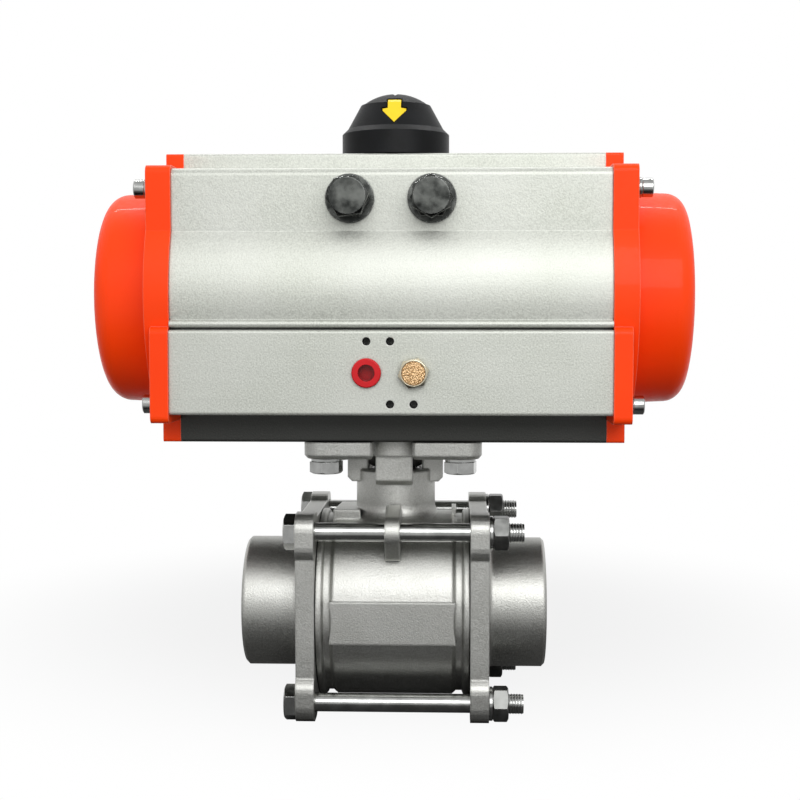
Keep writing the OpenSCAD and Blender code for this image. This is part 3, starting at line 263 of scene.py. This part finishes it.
def cast_stainless():
    """Investment-cast stainless steel, shot blasted: grey, grainy and softly shining, with
    its edges rounded over and a highlight painted along them, and painted shade in its hollows.
    The grain is drawn about twice as coarse as it is."""
    material, tree, shader = new_material("cast_stainless", "#B0B0AC", 0.40, 1.0)
    where = object_place(tree)
    grain = noise(tree, where, 0.9, 3.0, 0.7)
    cloud = noise(tree, where, 22, 3.0, 0.6)
    rolled = soft_edges(tree, 1.6)
    tint = mix_colour(tree, ramp(tree, cloud, 0.0, 1.0), "#B5B5B1", "#A6A6A1")
    tint = mix_colour(tree, ramp(tree, grain, 0.0, 0.7, 0.35, 0.65), tint, "#C9CAC6")
    # Painted highlight: the edges are lightened
    tint = mix_colour(tree, edge_mask(tree, rolled), tint, "#DCDDD9")
    connect(tree, shader, Base_Color=paint_crevice_shade(tree, tint, 5),
            Roughness=ramp(tree, grain, 0.34, 0.48), Normal=bump(tree, grain, 0.16, rolled))
    return material


def machined_stainless(name="machined_stainless", colour="#A2A3A1", bright="#BDBEBC",
                       roughness=(0.15, 0.22)):
    """Turned and drawn stainless steel: bright and smooth, with faint clouds from handling
    and a highlight painted along its edges.
    """
    material, tree, shader = new_material(name, colour, roughness[0], 1.0)
    cloud = noise(tree, object_place(tree), 7, 2.0)
    rolled = soft_edges(tree, 0.4)
    tint = mix_colour(tree, ramp(tree, cloud, 0.0, 1.0), colour, bright)
    # Painted highlight: the edges are lightened towards near white
    tint = mix_colour(tree, edge_mask(tree, rolled), tint, "#E4E5E3")
    connect(tree, shader, Base_Color=tint, Roughness=ramp(tree, cloud, *roughness), Normal=rolled)
    return material


def forged_stainless():
    """Cold-forged stainless steel of nuts: greyer and duller than turned steel."""
    return machined_stainless("forged_stainless", "#666765", "#929391", (0.32, 0.44))


def dark_polished_steel():
    """Hardened steel, blued and rubbed bright in patches, with a highlight painted along its edges.
    """
    return machined_stainless("dark_polished_steel", "#1D1F1E", "#5E605D", (0.16, 0.34))


def plated_brass():
    """Turned brass, thinly nickel plated, so that it is pale with a warm shine through it."""
    return machined_stainless("plated_brass", "#C9C0A6", "#D8D0B8", (0.20, 0.30))


def black_moulding():
    """Glass-filled nylon, moulded with a fine spark-eroded grain: black and satin."""
    material, tree, shader = new_material(
        "black_glass_nylon", "#101113", 0.42, 0.0, **{"Specular IOR Level": 0.15})
    where = object_place(tree)
    grain = noise(tree, where, 0.6, 2.0)
    cloud = noise(tree, where, 14, 2.0)
    rolled = soft_edges(tree, 0.6)
    tint = mix_colour(tree, ramp(tree, cloud, 0.0, 1.0), "#0D0E0F", "#151618")
    connect(tree, shader, Base_Color=tint, Roughness=ramp(tree, grain, 0.36, 0.50),
            Normal=bump(tree, grain, 0.04, rolled))
    return material


def plain_moulding(name, colours, roughness, grain_mm=0.8, **sockets):
    """A moulded or machined plastic with a slight mottle and a fine grain, and painted shade in its
    hollows.
    """
    material, tree, shader = new_material(name, colours[0], roughness[0], 0.0, **sockets)
    where = object_place(tree)
    grain = noise(tree, where, grain_mm, 2.0)
    cloud = noise(tree, where, 11, 2.0)
    rolled = soft_edges(tree, 0.4)
    tint = mix_colour(tree, ramp(tree, cloud, 0.0, 1.0), colours[0], colours[1])
    connect(tree, shader, Base_Color=paint_crevice_shade(tree, tint, 6, 0.8),
            Roughness=ramp(tree, grain, *roughness), Normal=bump(tree, grain, 0.02, rolled))
    return material


def sintered_bronze():
    """Bronze beads sintered into a porous disc: golden, with every bead showing."""
    material, tree, shader = new_material("sintered_bronze", "#C89A5E", 0.38, 0.9)
    where = object_place(tree)
    cells = add(tree, "ShaderNodeTexVoronoi", {"Vector": where, "Scale": per_mm(0.7)})
    beads = cells.outputs["Distance"]
    tint = mix_colour(tree, ramp(tree, beads, 0.0, 1.0, 0.2, 0.8), "#F0CDA0", "#A07A4C")
    connect(tree, shader, Base_Color=tint, Roughness=ramp(tree, beads, 0.30, 0.60),
            Normal=bump(tree, beads, 0.25))
    return material


MATERIALS = {
    "anodised_aluminium": anodised_aluminium(),
    "orange_paint": orange_enamel(),
    "stainless_steel": machined_stainless(),
    "cast_stainless": cast_stainless(),
    "dark_steel": dark_polished_steel(),
    "forged_stainless": forged_stainless(),
    "plated_brass": plated_brass(),
    "black_plastic": black_moulding(),
    "yellow_plastic": plain_moulding("yellow_inlay", ("#F7D51C", "#F0CC10"), (0.36, 0.46)),
    "red_plastic": plain_moulding(
        "red_polyethylene", ("#D0141E", "#C21019"), (0.18, 0.26), 2.0,
        **{"Specular IOR Level": 0.3, "Coat Weight": 0.15, "Coat Roughness": 0.1}),
    "sintered_bronze": sintered_bronze(),
    "bearing_plastic": plain_moulding("natural_acetal", ("#E9E8DE", "#DEDDD2"), (0.40, 0.50)),
    "seal_rubber": plain_moulding("black_nitrile", ("#17171A", "#1E1E20"), (0.55, 0.68)),
    "seal_ptfe": plain_moulding("white_ptfe", ("#F4F4F0", "#EAEAE5"), (0.45, 0.55)),
    "spring_steel": plain_moulding("blue_epoxy", ("#2F5597", "#284A86"), (0.30, 0.40)),
}

# Pieces whose material differs from that of their slot
FINISHES = {
    # Painted shade: the stop washers take the dark steel, as they lie mostly in shade under the
    # stop screw heads
    "stop_washers": "dark_steel",
    "body_nuts": "forged_stainless",
    "breather_vent": "plated_brass",
}

for part in frame["record"]["subparts"]:
    slots = frame["nodes"][part["node"]].data.materials
    slots.clear()
    slots.append(MATERIALS[FINISHES.get(part["node"], part["material_slot"])])


# ---- Screw threads and springs ----

def mesh_object(name, bm, material, smooth=False):
    """Turns a finished bmesh into an object of the scene."""
    mesh = bpy.data.meshes.new(name)
    bm.to_mesh(mesh)
    bm.free()
    for face in mesh.polygons:
        face.use_smooth = smooth
    mesh.materials.append(material)
    made = bpy.data.objects.new(name, mesh)
    bpy.context.scene.collection.objects.link(made)
    return made


def make_piece(name, bm, slot, smooth):
    """Turns a finished bmesh into a piece that rides on the housing."""
    bmesh.ops.remove_doubles(bm, verts=bm.verts, dist=0.001 * MM)
    bmesh.ops.recalc_face_normals(bm, faces=bm.faces)
    piece = mesh_object(name, bm, MATERIALS[slot], smooth)
    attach(piece, "housing")
    return piece


def wind(bm, outline, axis_y, axis_z, turns, advance, steps_per_turn):
    """Winds an outline along X as a helix and returns the outline at its far end."""
    steps = round(turns * steps_per_turn)
    made = bmesh.ops.spin(bm, geom=outline, cent=(0, axis_y, axis_z), axis=(1, 0, 0),
                          dvec=(advance / steps, 0, 0), angle=turns * math.tau, steps=steps,
                          use_duplicate=False)
    return made["geom_last"]


def cap_end(bm, outline):
    """Closes the end of a wound outline with one face."""
    edges = [part for part in outline if isinstance(part, bmesh.types.BMEdge)]
    bmesh.ops.holes_fill(bm, edges=edges, sides=0)


# Half widths and height of a thread's ridge as shares of its pitch, and how far it sinks in
RIDGE_FOOT, RIDGE_CREST, RIDGE_H = 0.42, 0.07, 0.22
RIDGE_SINK = 0.1 * MM
THREAD_STEPS = 28


def thread(name, x_from, x_to, axis_y, axis_z, core_r, pitch, slot):
    """The ridge of a screw thread, wound along X about a plain core."""
    bm = bmesh.new()
    foot_r, crest_r = core_r - RIDGE_SINK, core_r + RIDGE_H * pitch
    section = ((-RIDGE_FOOT, foot_r), (-RIDGE_CREST, crest_r), (RIDGE_CREST, crest_r),
               (RIDGE_FOOT, foot_r))
    corners = [bm.verts.new((x_from + place * pitch, axis_y, axis_z + radius))
               for place, radius in section]
    edges = [bm.edges.new((corners[i], corners[(i + 1) % 4])) for i in range(4)]
    outline = corners + edges
    cap_end(bm, outline)
    length = x_to - x_from
    cap_end(bm, wind(bm, outline, axis_y, axis_z, length / pitch, length, THREAD_STEPS))
    return make_piece(name, bm, slot, False)


M10_R = 5.0 * MM
M10_PITCH = 1.5 * MM
M10_NUT_HALF = 8.5 * MM
# Bare bolt between nut and ridge, and between ridge and the chamfer of the bolt's end
NUT_GAP = 0.3 * MM
END_GAP = 1.0 * MM
nut_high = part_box("body_nuts")[1]
bolt_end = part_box("body_bolts")[1].x
bolt_out = nut_high.z - M10_NUT_HALF
BOLTS = ((-1, -1, "front_low"), (-1, 1, "front_high"), (1, -1, "back_low"), (1, 1, "back_high"))
for y_side, z_side, where in BOLTS:
    thread(f"bolt_thread_{where}", nut_high.x + NUT_GAP, bolt_end - END_GAP,
           y_side * bolt_out, z_side * bolt_out, M10_R, M10_PITCH, "stainless_steel")

# Mean diameter, wire and turns of a spring, and how far its piston presses it together
SPRING_D = 26 * MM
SPRING_WIRE = 3.8 * MM
SPRING_TURNS = 7
CLOSED_PITCH = 1.05 * SPRING_WIRE
SPRING_STEPS = 32
WIRE_SIDES = 12
AXIS_Z = centre("spring_set_right").z


def coil_spring(bm, axis_y, axis_z, x_from, x_to):
    """One spring along X, whose first and last turns lie closed."""
    way = 1 if x_to > x_from else -1
    closed = way * CLOSED_PITCH
    opened = (x_to - x_from) - way * SPRING_WIRE - 2 * closed
    start = (x_from + way * SPRING_WIRE / 2, axis_y, axis_z + SPRING_D / 2)
    ring = bmesh.ops.create_circle(bm, segments=WIRE_SIDES, radius=SPRING_WIRE / 2)["verts"]
    upright = Matrix.Rotation(math.radians(90), 3, "X")
    bmesh.ops.rotate(bm, verts=ring, cent=(0, 0, 0), matrix=upright)
    bmesh.ops.translate(bm, verts=ring, vec=start)
    outline = ring + list({edge for vert in ring for edge in vert.link_edges})
    cap_end(bm, outline)
    for turns, advance in ((1, closed), (SPRING_TURNS - 2, opened), (1, closed)):
        outline = wind(bm, outline, axis_y, axis_z, turns, advance, SPRING_STEPS)
    cap_end(bm, outline)


for side, name in ((-1, "left"), (1, "right")):
    low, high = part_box(f"spring_set_{name}")
    piston_end, cap_end_x = (high.x, low.x) if side < 0 else (low.x, high.x)
    off = high.y - (SPRING_D + SPRING_WIRE) / 2
    bm = bmesh.new()
    for y_side in (-1, 1):
        for z_side in (-1, 1):
            coil_spring(bm, y_side * off, AXIS_Z + z_side * off, piston_end, cap_end_x)
    springs = make_piece(f"spring_coils_{name}", bm, "spring_steel", True)
    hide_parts(f"spring_set_{name}")
    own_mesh(springs)


# ---- Stage, light and camera ----

def area_light(name, place, target, width, height, watts):
    """A rectangular lamp that faces the target."""
    lamp = bpy.data.lights.new(name, "AREA")
    lamp.shape = "RECTANGLE"
    lamp.size = width
    lamp.size_y = height
    lamp.energy = watts
    holder = bpy.data.objects.new(name, lamp)
    holder.location = place
    holder.rotation_euler = (Vector(target) - Vector(place)).to_track_quat("-Z", "Y").to_euler()
    bpy.context.scene.collection.objects.link(holder)


def background_rays(tree):
    """1 for the rays that show the white background: those of camera, mirrors and glass."""
    rays = add(tree, "ShaderNodeLightPath")
    mirrors = add(tree, "ShaderNodeMath", {
        0: rays.outputs["Is Glossy Ray"], 1: rays.outputs["Is Transmission Ray"]},
        operation="MAXIMUM")
    return add(tree, "ShaderNodeMath", {
        0: rays.outputs["Is Camera Ray"], 1: mirrors.outputs[0]}, operation="MAXIMUM").outputs[0]


def seen_white(tree, behind):
    """Share of white for each ray: all of it for the camera, and for mirrors what lies behind."""
    camera_rays = add(tree, "ShaderNodeLightPath").outputs["Is Camera Ray"]
    mirrored = add(tree, "ShaderNodeMath", {0: background_rays(tree), 1: behind},
                   operation="MULTIPLY")
    return add(tree, "ShaderNodeMath", {0: camera_rays, 1: mirrored.outputs[0]},
               operation="MAXIMUM").outputs[0]


FLOOR_CENTRE = (0.0, 0.22)
FLOOR_R = 0.40
FLOOR_GAP = 0.2 * MM
# Share of white that the camera sees on the floor, at its middle
FLOOR_WHITE = 0.86
# How far back the floor begins to look white in the valve's own mirror surfaces
MIRROR_FROM, MIRROR_FULL = 0.08, 0.35


def make_floor(level):
    """A round grey sheet, which throws little light up at the valve. To the camera it is nearly
    white and fades into the background towards its rim, so that only the shadow shows on it."""
    bm = bmesh.new()
    bmesh.ops.create_circle(bm, cap_ends=True, segments=96, radius=FLOOR_R)
    bmesh.ops.translate(bm, verts=bm.verts, vec=(*FLOOR_CENTRE, level))
    material, tree, shader = new_material("pale_paper", "#484848", 0.9)
    floor = mesh_object("floor", bm, material)
    place = add(tree, "ShaderNodeTexCoord").outputs["Object"]
    out = add(tree, "ShaderNodeVectorMath", {0: place, 1: (*FLOOR_CENTRE, level)},
              operation="DISTANCE")
    fade = add(tree, "ShaderNodeMapRange", {
        "Value": out.outputs["Value"], "From Min": 0.25 * FLOOR_R, "From Max": 0.98 * FLOOR_R,
        "To Min": FLOOR_WHITE, "To Max": 1.0}, interpolation_type="SMOOTHSTEP")
    far = add(tree, "ShaderNodeSeparateXYZ", {0: place}).outputs["Y"]
    behind = add(tree, "ShaderNodeMapRange", {
        "Value": far, "From Min": MIRROR_FROM, "From Max": MIRROR_FULL,
        "To Min": 0.0, "To Max": 1.0}).outputs[0]
    seen = seen_white(tree, behind)
    share = add(tree, "ShaderNodeMath", {0: seen, 1: fade.outputs[0]}, operation="MULTIPLY")
    glow = add(tree, "ShaderNodeEmission", {"Color": (1, 1, 1, 1), "Strength": 1.0})
    blend = add(tree, "ShaderNodeMixShader", {
        0: share.outputs[0], 1: shader.outputs["BSDF"], 2: glow.outputs[0]})
    tree.links.new(blend.outputs[0], tree.nodes["Material Output"].inputs["Surface"])


def make_world():
    """White behind the valve, pale overhead and in front, and dark below, as in a small studio."""
    world = bpy.data.worlds.new("studio")
    bpy.context.scene.world = world
    world.use_nodes = True
    tree = world.node_tree
    tree.nodes.clear()
    direction = add(tree, "ShaderNodeTexCoord").outputs["Generated"]
    split = add(tree, "ShaderNodeSeparateXYZ", {0: direction})
    up = add(tree, "ShaderNodeMapRange", {
        "Value": split.outputs["Z"], "From Min": -1.0, "From Max": 1.0})
    room = levels(tree, up.outputs[0], (0.08, 0.0), (0.24, 0.12), (0.34, 0.56), (0.43, 0.70),
                  (0.56, 0.68), (0.75, 0.95), (0.88, 0.95), (1.0, 0.60))
    behind = add(tree, "ShaderNodeMapRange", {
        "Value": split.outputs["Y"], "From Min": 0.4, "From Max": 0.8,
        "To Min": 0.0, "To Max": 1.0}).outputs[0]
    colour = mix_colour(tree, seen_white(tree, behind), room, (1, 1, 1, 1))
    lit = add(tree, "ShaderNodeBackground", {"Color": colour, "Strength": 1.0})
    add(tree, "ShaderNodeOutputWorld", {"Surface": lit.outputs[0]})


KEY_AT = (0.25, -1.2, 0.72)
CEILING_AT = (0.0, 0.45, 1.25)
CAMERA_AT = (0.031, -0.786, 0.163)
LOOKS_AT = (0.0023, 0.0, 0.1138)
LENS = 63.1

make_floor(cad_low.z - FLOOR_GAP)
make_world()
middle = (cad_low + cad_high) / 2
area_light("key_box", KEY_AT, middle, width=1.2, height=0.7, watts=9.5)
area_light("ceiling_tube", CEILING_AT, middle, width=1.4, height=0.04, watts=5)

camera = bpy.data.objects.new("camera", bpy.data.cameras.new("camera"))
camera.data.lens = LENS
camera.location = CAMERA_AT
view_line = Vector(LOOKS_AT) - Vector(CAMERA_AT)
camera.rotation_euler = view_line.to_track_quat("-Z", "Y").to_euler()
bpy.context.scene.collection.objects.link(camera)
bpy.context.scene.camera = camera
bpy.context.scene.view_settings.view_transform = "Standard"
